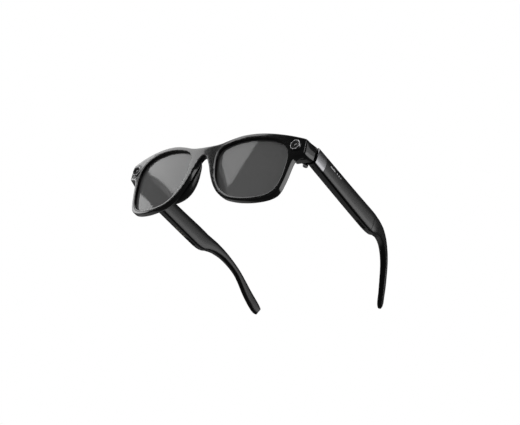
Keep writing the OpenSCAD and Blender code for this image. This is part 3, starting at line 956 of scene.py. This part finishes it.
    def build_pad(self, name: str, node: str, mirrored: bool) -> None:
        """Builds a nose pad: a dome carried down the rim's nose side. Its height behind the rim
        follows a sine from top to bottom, and each section is a superellipse.

        Args:
            name: the piece's name.
            node: the frame's node that it stands for.
            mirrored: whether it is on the wearer's right.
        """
        path = catmull(
            np.array([
                [4.6, 0.8], [6.6, -4], [8.9, -9.2], [11.4, -14], [14.2, -18.4], [17.8, -22.4],
                [21.6, -25.6],
            ]),
            14,
        )
        t = np.linspace(0, 1, len(path))
        along = np.gradient(path, axis=0)
        along /= np.linalg.norm(along, axis=1, keepdims=True)
        across = np.stack([-along[:, 1], along[:, 0]], 1)
        half = self.pad_tip + self.pad_half * np.sin(math.pi * np.clip(t, 0.0, 1)) ** 0.45
        rise = self.pad_rise * np.sin(math.pi * t) ** 0.8
        a = np.linspace(0, 2 * math.pi, 40, endpoint=False)
        wide = np.sign(np.cos(a)) * np.abs(np.cos(a)) ** 0.75
        tall = np.where(np.sin(a) > 0, np.abs(np.sin(a)) ** 0.75, -0.12 * np.abs(np.sin(a)))
        flat = path[:, None] + across[:, None] * (half[:, None] * wide[None])[..., None]
        x, z = flat[..., 0], flat[..., 1]
        y = self.surface(x, z, self.depth) + (rise[:, None] + self.pad_sunk) * tall[None] - self.pad_sunk
        x = x + self.pad_lean * rise[:, None] * np.clip(tall, 0, 1)[None]
        vertices, faces = capped(np.stack([x, y, z], -1))
        self.bench.piece(
            name, vertices, faces, "front", "pad_plastic", self.finish["pad_plastic"], (node,),
            sharp=70, mirrored=mirrored,
        )

    def build_lens(self, name: str, node: str, mirrored: bool) -> None:
        """Builds a lens: the opening's outline grown by the groove's depth, shrunk ring by ring
        to its middle, on the surfaces a lens setting and a lens thickness behind the front.

        Args:
            name: the piece's name.
            node: the frame's node that it stands for.
            mirrored: whether it is on the wearer's right.
        """
        outline = self.opening()
        outline = outline - inward(outline) * self.lens_bite
        middle = outline.mean(0)
        shares = np.concatenate([np.linspace(0.02, 0.97, 34), [0.99, 1.0]])
        rings = [middle + (outline - middle) * s for s in shares]
        front = [self.lift(r, self.lens_set) for r in rings]
        rear = [self.lift(r, self.lens_set + self.lens_thick) for r in rings]
        vertices, faces = capped(np.stack(front + rear[::-1]))
        self.bench.piece(
            name, vertices, faces, "front", "tinted_lens", self.finish["tinted_lens"], (node,),
            sharp=30, mirrored=mirrored,
        )

    def build(self) -> None:
        """Builds the whole front."""
        self.build_shell()
        for side, mirrored in (("left", False), ("right", True)):
            self.build_corner(f"corner_housing_{side}", mirrored)
            self.build_pad(f"nose_pad_moulded_{side}", f"nose_pad_{side}", mirrored)
            self.build_lens(f"tinted_lens_{side}", f"lens_{side}", mirrored)


@dataclass
class Eye:
    """The round eye in a corner: its metal ring, its window and the rings seen inside it."""

    bench: Bench
    finish: dict[str, bpy.types.Material]
    front: Front
    x: float = 64.4
    z: float = 7.0
    radius: float = 3.4
    proud: float = 1.0
    wall: float = 0.55
    edge: float = 0.3

    def set_in(self, turned: Mesh) -> Mesh:
        """Stands a turned shape on the eye's axis, its third coordinate going backwards.

        Args:
            turned: vertices and faces about the third axis.

        Returns:
            The same shape in the worn layout.
        """
        points, faces = turned
        c, s = math.cos(self.front.tilt), math.sin(self.front.tilt)
        y = float(self.front.surface(np.array(self.x), np.array(self.z), 0.0))
        u, v, w = points.T
        return np.stack([self.x + u, y + w * c - v * s, self.z + v * c + w * s], 1), faces

    def build(self, ring: str, window: str, lens: str, nodes: tuple[str, str], mirrored: bool) -> None:
        """Builds the ring, the window and the inner lens.

        Args:
            ring: the ring piece's name.
            window: the window piece's name.
            lens: the inner lens piece's name.
            nodes: the frame's ring and window nodes.
            mirrored: whether it is on the wearer's right.
        """
        r, top = self.radius, -self.proud
        a = np.linspace(0, math.pi / 2, 6)
        e = self.edge
        outside = np.stack([r - e + e * np.sin(a), top + e - e * np.cos(a)], 1)
        inner = r - self.wall
        ring_rows = np.vstack(
            [[[inner, 0.6], [inner, top + 0.35], [inner + 0.08, top + 0.06], [inner + 0.18, top]],
             outside, [[r, 0.85], [inner, 0.85], [inner, 0.6]]]
        )
        points, faces = self.set_in(lathe(ring_rows))
        self.bench.piece(
            ring, points, faces, "front", "ring_metal", self.finish["ring_metal"], (nodes[0],),
            mirrored=mirrored,
        )
        w = inner - 0.02
        rows = np.array(
            [[POLE, top + 0.95], [1.3, top + 0.95], [1.35, top + 0.62], [1.6, top + 0.58],
             [1.65, top + 0.42], [2.0, top + 0.38], [2.05, top + 0.3], [w, top + 0.26], [w, 0.2],
             [POLE, 0.2]]
        )
        points, faces = self.set_in(lathe(rows))
        self.bench.piece(
            window, points, faces, "front", "eye_window", self.finish["dark_module"], (nodes[1],),
            mirrored=mirrored,
        )
        b = np.linspace(0, 1, 10)
        dome = np.stack([POLE + 1.24 * b, top + 0.62 + 0.22 * b**2], 1)
        rows = np.vstack([dome, [[1.26, top + 0.94], [POLE, top + 0.94]]])
        points, faces = self.set_in(lathe(rows))
        self.bench.piece(
            lens, points, faces, "front", "eye_window", self.finish["eye_window"],
            mirrored=mirrored,
        )


# ---- the temples ----------------------------------------------------------------------------


@dataclass
class Temple:
    """A temple: housing with its ear end, outer cover, collar and marks."""

    bench: Bench
    finish: dict[str, bpy.types.Material]
    side: str
    front_y: float = 18.6
    bay: float = 75.9
    split: float = 73.4
    mid_z: float = 5.85
    seam: float = 0.44
    collar_end: float = 28.6
    collar_arc: float = 30.0
    mark_z: float = 8.0
    mark_proud: float = 0.04
    mark_sunk: float = 0.25
    bulge_share: float = 0.86
    contact_x: float = 72.1
    contact_step: float = 3.2
    around: int = 96

    @property
    def mirrored(self) -> bool:
        """Whether this is the wearer's right temple."""
        return self.side == "right"

    @property
    def body(self) -> str:
        """The body that the temple's pieces ride on."""
        return f"{self.side}_temple"

    @property
    def cover_end(self) -> float:
        """Where the outer cover ends."""
        return self.front_y + self.bay - 2.0

    @property
    def grille_y(self) -> float:
        """Where the speaker slot is, under the bulge."""
        return self.front_y + self.bay * self.bulge_share

    def stations(self) -> Array:
        """Sections along the temple, from its front to the tip of the ear end.

        Returns:
            Rows of x, y, z, height, thickness, and the powers that flatten the section's top and
            its side.
        """
        mid_x, mid_z, y0, bay = 71.05, self.mid_z, self.front_y, self.bay
        end, ear_x = y0 + bay, 71.55
        rows = [
            [mid_x, y0, mid_z, 11.9, 7.1, 7.0, 2.3],
            [mid_x + 0.15, y0 + bay * 0.3, mid_z - 0.05, 12.6, 7.1, 7.0, 2.3],
            [mid_x + 0.3, y0 + bay * 0.6, mid_z - 0.1, 13.3, 7.1, 6.5, 2.3],
            [mid_x + 0.45, self.grille_y, mid_z, 14.1, 7.1, 6.0, 2.3],
        ]
        ear = [
            [0.05, -3.5, 0.1, 14.2, 7.1, 5.5, 2.3], [-0.05, 1.5, 0.5, 13.4, 7.0, 5.0, 2.3],
            [-0.5, 6.7, 1.6, 11.1, 6.7, 4.4, 2.3], [-1.8, 15.1, 2.3, 8.5, 6.1, 3.8, 2.4],
            [-4.5, 26, 0.5, 6.3, 5.5, 3.2, 2.6], [-8.6, 38.5, -5.3, 5.4, 5.0, 3.0, 2.7],
            [-13.6, 50.8, -16.3, 7.4, 4.5, 3.0, 3.0], [-16.9, 57.6, -22.3, 8.0, 4.2, 3.0, 3.0],
            [-18.35, 60.7, -24.7, 7.2, 3.9, 3.0, 3.0], [-19.0, 61.9, -25.65, 5.7, 3.2, 3.0, 3.0],
            [-19.2, 62.25, -25.85, 4.1, 2.2, 3.0, 3.0],
        ]
        rows += [[ear_x + r[0], end + r[1], mid_z + r[2], *r[3:]] for r in ear]
        return np.array(rows, float)

    def path(self) -> Array:
        """The stations' smooth curve."""
        return catmull(self.stations(), 14)

    def sections(self, path: Array) -> tuple[Array, Array, Array, Array]:
        """Section frames along the path.

        Args:
            path: rows of the path.

        Returns:
            The centres, the across and up directions, and the section points about each centre.
            A section is a superellipse, |2x/t|^p + |2z/h|^q = 1: a large p keeps its top and
            bottom flat, and a q near 2 crowns its sides.
        """
        centre = path[:, :3]
        along = np.gradient(centre, axis=0)
        along[0] = [0, 1, 0]
        along /= np.linalg.norm(along, axis=1, keepdims=True)
        across = np.cross(along, [0, 0, 1])
        across /= np.linalg.norm(across, axis=1, keepdims=True)
        up = np.cross(across, along)
        a = (np.arange(self.around) + 0.5) / self.around * 2 * math.pi
        u = np.sign(np.cos(a)) * np.abs(np.cos(a)) ** (2 / path[:, 5:6]) * path[:, 4:5] / 2
        v = np.sign(np.sin(a)) * np.abs(np.sin(a)) ** (2 / path[:, 6:7]) * path[:, 3:4] / 2
        return centre, across, up, np.stack([u, v], -1)

    def clamp(self, path: Array, local: Array, beyond: float, keep_inner: bool) -> Array:
        """Flattens the sections on one side of an upright plane, where the shells part.

        Args:
            path: rows of the path.
            local: section points.
            beyond: the plane's x.
            keep_inner: whether the side towards the head is kept.

        Returns:
            The flattened section points.
        """
        x = beyond - path[:, :1]
        share = np.clip(np.abs(x) / (path[:, 4:5] / 2), 0, 1)
        limit = path[:, 3:4] / 2 * (1 - share ** path[:, 5:6]) ** (1 / path[:, 6:7])
        u, v = local[..., 0], local[..., 1]
        past = u > x if keep_inner else u < x
        u = np.where(past, x, u)
        v = np.where(past, np.clip(v, -limit, limit), v)
        return np.stack([u, v], -1)

    def skin(self, path: Array, local: Array) -> Array:
        """Section points placed on their frames along the path.

        Args:
            path: rows of the path.
            local: section points about each centre.

        Returns:
            Worn coordinates, a row to each section.
        """
        centre, across, up, _ = self.sections(path)
        return (
            centre[:, None]
            + across[:, None] * local[..., :1]
            + up[:, None] * local[..., 1:]
        )

    def build_housing(self) -> None:
        """Builds the housing and ear end as one closed sweep, flat where the cover sits, and cuts
        its openings: leaf recess, microphone slot, speaker slot, and slider or button."""
        path = self.path()
        before = path[path[:, 1] < self.cover_end - 0.05]
        after = path[path[:, 1] > self.cover_end + 0.05]
        share = (self.cover_end - before[-1, 1]) / (after[0, 1] - before[-1, 1])
        at = before[-1] + (after[0] - before[-1]) * share
        tail = np.vstack([at, after])
        head = np.vstack([before, at])
        local = self.clamp(head, self.sections(head)[3], self.split - self.seam / 2, True)
        rows = np.vstack([self.skin(head, local), self.skin(tail, self.sections(tail)[3])])
        lead = rows[:1] + (rows[:1].mean(1, keepdims=True) - rows[:1]) * 0.06
        rows = np.vstack([lead, rows])
        rows[1, :, 1] += 0.35
        vertices, faces = capped(rows)
        obj = self.bench.piece(
            f"temple_shell_{self.side}", vertices, faces, self.body, "temple_plastic",
            self.finish["temple_plastic"], (f"temple_housing_{self.side}",), sharp=35,
            mirrored=self.mirrored,
        )
        speaker_slot = long_round((71.4, self.grille_y, -1.2), 10.2, 1.9, 1.5)
        microphone_slot = slab((70.5, 22.0, -0.1), (0.6, 2.0, 2.4))
        leaf_recess = slab((67.9, 22.9, 5.75), (2.0, 7.2, 4.5))
        cutters = [speaker_slot, microphone_slot, leaf_recess]
        if self.mirrored:
            button_hole = long_round((70.75, self.front_y + 18, 11.6), 9.35, 2.95, 3.0)
            contact_holes = [
                long_round((self.contact_x, y, -0.9), 1.8, 1.75, 1.4)
                for y in self.contact_places()
            ]
            cutters += [button_hole, *contact_holes]
        else:
            slider_slot = slab((67.8, 36.2, 6.85), (2.4, 5.5, 2.0))
            cutters.append(slider_slot)
        self.bench.cut(obj, cutters, self.mirrored)

    def arc_y(self, z: Array, gap: float) -> Array:
        """The collar's rear edge, a shallow arc about a centre in front of it.

        Args:
            z: heights on the edge.
            gap: how far behind the edge.

        Returns:
            The y at each height.
        """
        centre = self.collar_end - self.collar_arc
        return centre + np.sqrt((self.collar_arc + gap) ** 2 - (z - self.mid_z) ** 2)

    def build_outer(self, name: str, node: str, slot: str, collar: bool) -> None:
        """Builds the collar or the cover: the outer side of the section, carried between its two
        ends, its rim softened by a small inset at each end.

        Args:
            name: the piece's name.
            node: the frame's node that it stands for.
            slot: the record's material slot.
            collar: whether this is the collar.
        """
        path = self.path()
        path = path[path[:, 1] < self.cover_end + 3]
        steps = np.concatenate([[0, 0.0015, 0.005], np.linspace(0.01, 0.99, 60), [0.995, 0.9985, 1]])
        inset = np.zeros(len(steps))
        inset[:3], inset[-3:] = [0.16, 0.06, 0.01], [0.01, 0.06, 0.16]
        y_mean = (self.collar_end - self.front_y) if collar else (self.cover_end - self.collar_end)
        start = self.front_y if collar else self.collar_end
        y = start + steps * y_mean
        rows = np.stack([np.interp(y, path[:, 1], path[:, k]) for k in range(STATION_VALUES)], 1)
        rows[:, 1] = y
        rows[:, 3] -= 2 * inset
        rows[:, 4] -= 2 * inset
        local = self.clamp(rows, self.sections(rows)[3], self.split + self.seam / 2, False)
        x = rows[:, None, 0] + local[..., 0]
        z = rows[:, None, 2] + local[..., 1]
        t = steps[:, None]
        if collar:
            yy = (1 - t) * (self.front_y + 0.02) + t * self.arc_y(z, -0.03)
        else:
            yy = (1 - t) * self.arc_y(z, 0.05) + t * (self.cover_end - 0.03)
        vertices, faces = capped(np.stack([x, yy, z], -1))
        self.bench.piece(
            name, vertices, faces, self.body, slot, self.finish[slot], (node,), sharp=40,
            mirrored=self.mirrored,
        )

    def face_x(self, y: float, z: Array) -> Array:
        """The outer face's x, from the section's formula.

        Args:
            y: the place along the temple.
            z: heights on the face.

        Returns:
            The x at each height.
        """
        path = self.path()
        row = [np.interp(y, path[:, 1], path[:, k]) for k in range(STATION_VALUES)]
        share = np.clip(np.abs(z - row[2]) * 2 / row[3], 0, 1)
        return row[0] + row[4] / 2 * (1 - share ** row[6]) ** (1 / row[5])

    def build_marks(self) -> None:
        """Builds a dash and three dots, low plain pads set on the cover and bent to its face."""
        shapes = [(36.2, 6.0, 0.9), (41.6, 1.1, 1.1), (43.9, 1.1, 1.1), (46.2, 1.1, 1.1)]
        parts = []
        for y, length, width in shapes:
            points, quads = long_round((0.0, 0.0, 0.0), length, width, 0.3)
            v, along, out = points.T
            z = self.mark_z + v
            x = self.face_x(y, z) + np.where(out > 0, self.mark_proud, -self.mark_sunk)
            parts.append((np.stack([x, y + along, z], 1), quads))
        vertices, faces = merged(parts)
        self.bench.piece(
            f"temple_marks_{self.side}", vertices, faces, self.body, "button_plastic",
            self.finish["mark"], mirrored=self.mirrored,
        )

    def contact_places(self) -> list[float]:
        """The y of each charging contact, ahead of the speaker slot."""
        return [self.grille_y - 12.6 + k * self.contact_step for k in (-1.5, -0.5, 0.5, 1.5)]

    def build_contacts(self) -> None:
        """Builds the four charging contacts as pins with domed ends, a little below the shell."""
        path = self.path()
        parts = []
        b = np.linspace(0, math.pi / 2, 7)
        for y in self.contact_places():
            row = [np.interp(y, path[:, 1], path[:, c]) for c in range(STATION_VALUES)]
            low = row[2] - row[3] / 2 - 0.12
            dome = np.stack([POLE + 0.76 * np.sin(b), low + 0.3 * (1 - np.cos(b))], 1)
            points, quads = lathe(np.vstack([dome, [[0.78, 1.9], [POLE, 1.9]]]), 28)
            parts.append((points + [self.contact_x, y, 0], quads))
        vertices, faces = merged(parts)
        self.bench.piece(
            "contact_pins", vertices, faces, self.body, "contact_gold",
            self.finish["contact_gold"], ("charge_contacts",), mirrored=self.mirrored,
        )

    def build(self) -> None:
        """Builds the whole temple."""
        self.build_housing()
        self.build_outer(
            f"collar_plate_{self.side}", f"hinge_collar_{self.side}", "polished_metal", True
        )
        self.build_outer(
            f"cover_plate_{self.side}", f"temple_cover_{self.side}", "temple_plastic", False
        )
        self.build_marks()
        if self.mirrored:
            self.build_contacts()


# ---- the studio -----------------------------------------------------------------------------


@dataclass(frozen=True)
class Panel:
    """A soft light panel, given by the directions of its corners from a point on the glasses.

    A direction is an azimuth and an elevation in degrees. A panel that doesn't light matt
    surfaces is seen in reflections only.
    """

    name: str
    anchor: tuple[float, float, float]
    corners: tuple[tuple[float, float], ...]
    strength: float
    distance: float = 3000.0
    lights_matt: bool = True

    def build(self, worn: Worn) -> None:
        """Makes the panel as an emitting sheet that only reflections and light see.

        Args:
            worn: the layout.
        """
        az, el = np.radians(np.array(self.corners)).T
        ways = np.stack([np.sin(az) * np.cos(el), -np.cos(az) * np.cos(el), np.sin(el)], 1)
        points = worn.to_frame(np.array(self.anchor) + ways * self.distance)
        mesh = bpy.data.meshes.new(self.name)
        mesh.from_pydata(points.tolist(), [], [list(range(len(points)))])
        nodes = Nodes(self.name)
        nodes.shader.inputs["Base Color"].default_value = (0, 0, 0, 1)
        nodes.shader.inputs["Emission Color"].default_value = (1, 1, 1, 1)
        nodes.shader.inputs["Emission Strength"].default_value = self.strength
        mesh.materials.append(nodes.material)
        obj = bpy.data.objects.new(self.name, mesh)
        bpy.context.scene.collection.objects.link(obj)
        obj.visible_camera = False
        obj.visible_shadow = False
        obj.visible_diffuse = self.lights_matt


PANELS = (
    Panel("panel_left", (-35, 5, 0), (
        (-84, 25.0), (-66.8, 22.5), (-53.5, 20.3), (-42, 18.4), (-41, 24), (-41, 52), (-84, 52)), 2.7),
    Panel("panel_left_low", (-45, 8, -18), (
        (-80, 23.2), (-80, 8), (-62, 8), (-61, 20.2), (-69.3, 21.7)), 2.7),
    Panel("panel_middle", (28, 4, -2), (
        (-35.5, 24), (-34.4, 21), (-30, 19.3), (-28.6, 19.5), (-22.7, 22), (-19, 23.6), (-19, 50),
        (-35.5, 50)), 2.7),
    Panel("panel_rear", (70, 50, 2), ((76, -5), (150, -5), (150, 22), (76, 22)), 1.9, 1600),
    Panel("panel_rear_soft", (70, 50, 2), ((76, 22), (150, 22), (150, 31), (76, 31)), 0.8, 1600),
    Panel("panel_under", (40, 50, 0), ((180, -4), (262, -4), (262, -33), (180, -33)), 0.26, 780, False),
    Panel("panel_top", (0, 60, 0), ((-30, 64), (60, 64), (150, 64), (240, 64)), 2.4),
)


@dataclass(frozen=True)
class Studio:
    """Pale floor, white backdrop, panels and the camera."""

    azimuth: float = 41.93
    elevation: float = -29.96
    roll: float = 17.55
    distance: float = 692.48
    target: tuple[float, float, float] = (6.73, 59.29, -1.27)
    lens: float = 71.73
    sensor: float = 36.0
    floor: float = -0.45
    floor_half: float = 14.0
    floor_glow: float = 0.38
    floor_rough: float = 0.7
    dim: float = 0.05
    bright: float = 1.0

    def build_camera(self, worn: Worn) -> None:
        """Makes the camera: it looks at the target from the azimuth and elevation, rolled.

        Args:
            worn: the layout.
        """
        a, e, r = (math.radians(v) for v in (self.azimuth, self.elevation, self.roll))
        back = np.array([math.sin(a) * math.cos(e), -math.cos(a) * math.cos(e), math.sin(e)])
        level = np.array([math.cos(a), math.sin(a), 0.0])
        above = np.cross(back, level)
        right = math.cos(r) * level + math.sin(r) * above
        up = np.cross(back, right)
        place = worn.to_frame(np.array(self.target) + back * self.distance)
        axes = worn.direction(np.stack([right, up, back]))
        data = bpy.data.cameras.new("camera")
        data.lens, data.sensor_width, data.sensor_fit = self.lens, self.sensor, "HORIZONTAL"
        data.clip_start, data.clip_end = 0.01, 50.0
        camera = bpy.data.objects.new("camera", data)
        matrix = Matrix.Identity(4)
        for k in range(3):
            for i in range(3):
                matrix[i][k] = axes[k][i]
            matrix[k][3] = place[k]
        camera.matrix_world = matrix
        bpy.context.scene.collection.objects.link(camera)
        bpy.context.scene.camera = camera

    def build_world(self) -> None:
        """Makes the world: white behind the glasses, dim in their reflections."""
        world = bpy.data.worlds.new("studio")
        world.use_nodes = True
        tree = world.node_tree
        tree.nodes.clear()
        out = tree.nodes.new("ShaderNodeOutputWorld")
        mix = tree.nodes.new("ShaderNodeMixShader")
        rays = tree.nodes.new("ShaderNodeLightPath")
        for k, strength in ((1, self.dim), (2, self.bright)):
            glow = tree.nodes.new("ShaderNodeBackground")
            glow.inputs["Color"].default_value = (1, 1, 1, 1)
            glow.inputs["Strength"].default_value = strength
            tree.links.new(glow.outputs[0], mix.inputs[k])
        tree.links.new(rays.outputs["Is Camera Ray"], mix.inputs[0])
        tree.links.new(mix.outputs[0], out.inputs[0])
        bpy.context.scene.world = world

    def build_floor(self) -> None:
        """Makes the pale floor, which glows a little and shows in no reflection."""
        mesh = bpy.data.meshes.new("floor")
        s, z = self.floor_half, self.floor
        mesh.from_pydata([(-s, -s, z), (s, -s, z), (s, s, z), (-s, s, z)], [], [(0, 1, 2, 3)])
        nodes = Nodes("pale floor")
        nodes.tint(nodes.noise(nodes.place(), 3.0), (0.78, 0.78, 0.78), (0.84, 0.84, 0.84))
        nodes.shader.inputs["Roughness"].default_value = self.floor_rough
        nodes.shader.inputs["Emission Color"].default_value = (1, 1, 1, 1)
        nodes.shader.inputs["Emission Strength"].default_value = self.floor_glow
        mesh.materials.append(nodes.material)
        obj = bpy.data.objects.new("floor", mesh)
        bpy.context.scene.collection.objects.link(obj)
        obj.visible_glossy = False
        obj.visible_diffuse = False

    def build(self, worn: Worn) -> None:
        """Builds the camera, the world, the floor and the panels.

        Args:
            worn: the layout.
        """
        scene = bpy.context.scene
        scene.view_settings.view_transform = "Standard"
        self.build_camera(worn)
        self.build_world()
        self.build_floor()
        for panel in PANELS:
            panel.build(worn)


def dress_nodes(record: dict, finish: dict[str, bpy.types.Material]) -> None:
    """Gives each of the frame's own nodes the finish of its slot.

    Args:
        record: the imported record.
        finish: the material of each slot.
    """
    for part in record["subparts"]:
        obj = frame["nodes"][part["node"]]
        obj.data.materials.clear()
        obj.data.materials.append(finish[part["material_slot"]])


def main() -> None:
    """Builds the scene."""
    logging.basicConfig(level=logging.INFO, format="%(message)s")
    record = frame["record"]
    worn = Worn.from_record(record)
    bench = Bench(worn)
    finish = {slot: f.build() for slot, f in SLOT_FINISH.items()}
    finish["mark"] = MARK_GREY.build()
    Studio().build(worn)
    dress_nodes(record, finish)
    front = Front(bench, finish)
    front.build()
    eye = Eye(bench, finish, front)
    eye.build("camera_ring_turned", "camera_recess", "camera_lens", ("camera_ring", "camera_window"), False)
    eye = Eye(bench, finish, front, 65.2, 6.0)
    eye.build("lamp_ring_turned", "lamp_recess", "lamp_lens", ("lamp_ring", "lamp_window"), True)
    for side in ("left", "right"):
        Temple(bench, finish, side).build()


if __name__ == "__main__":
    main()
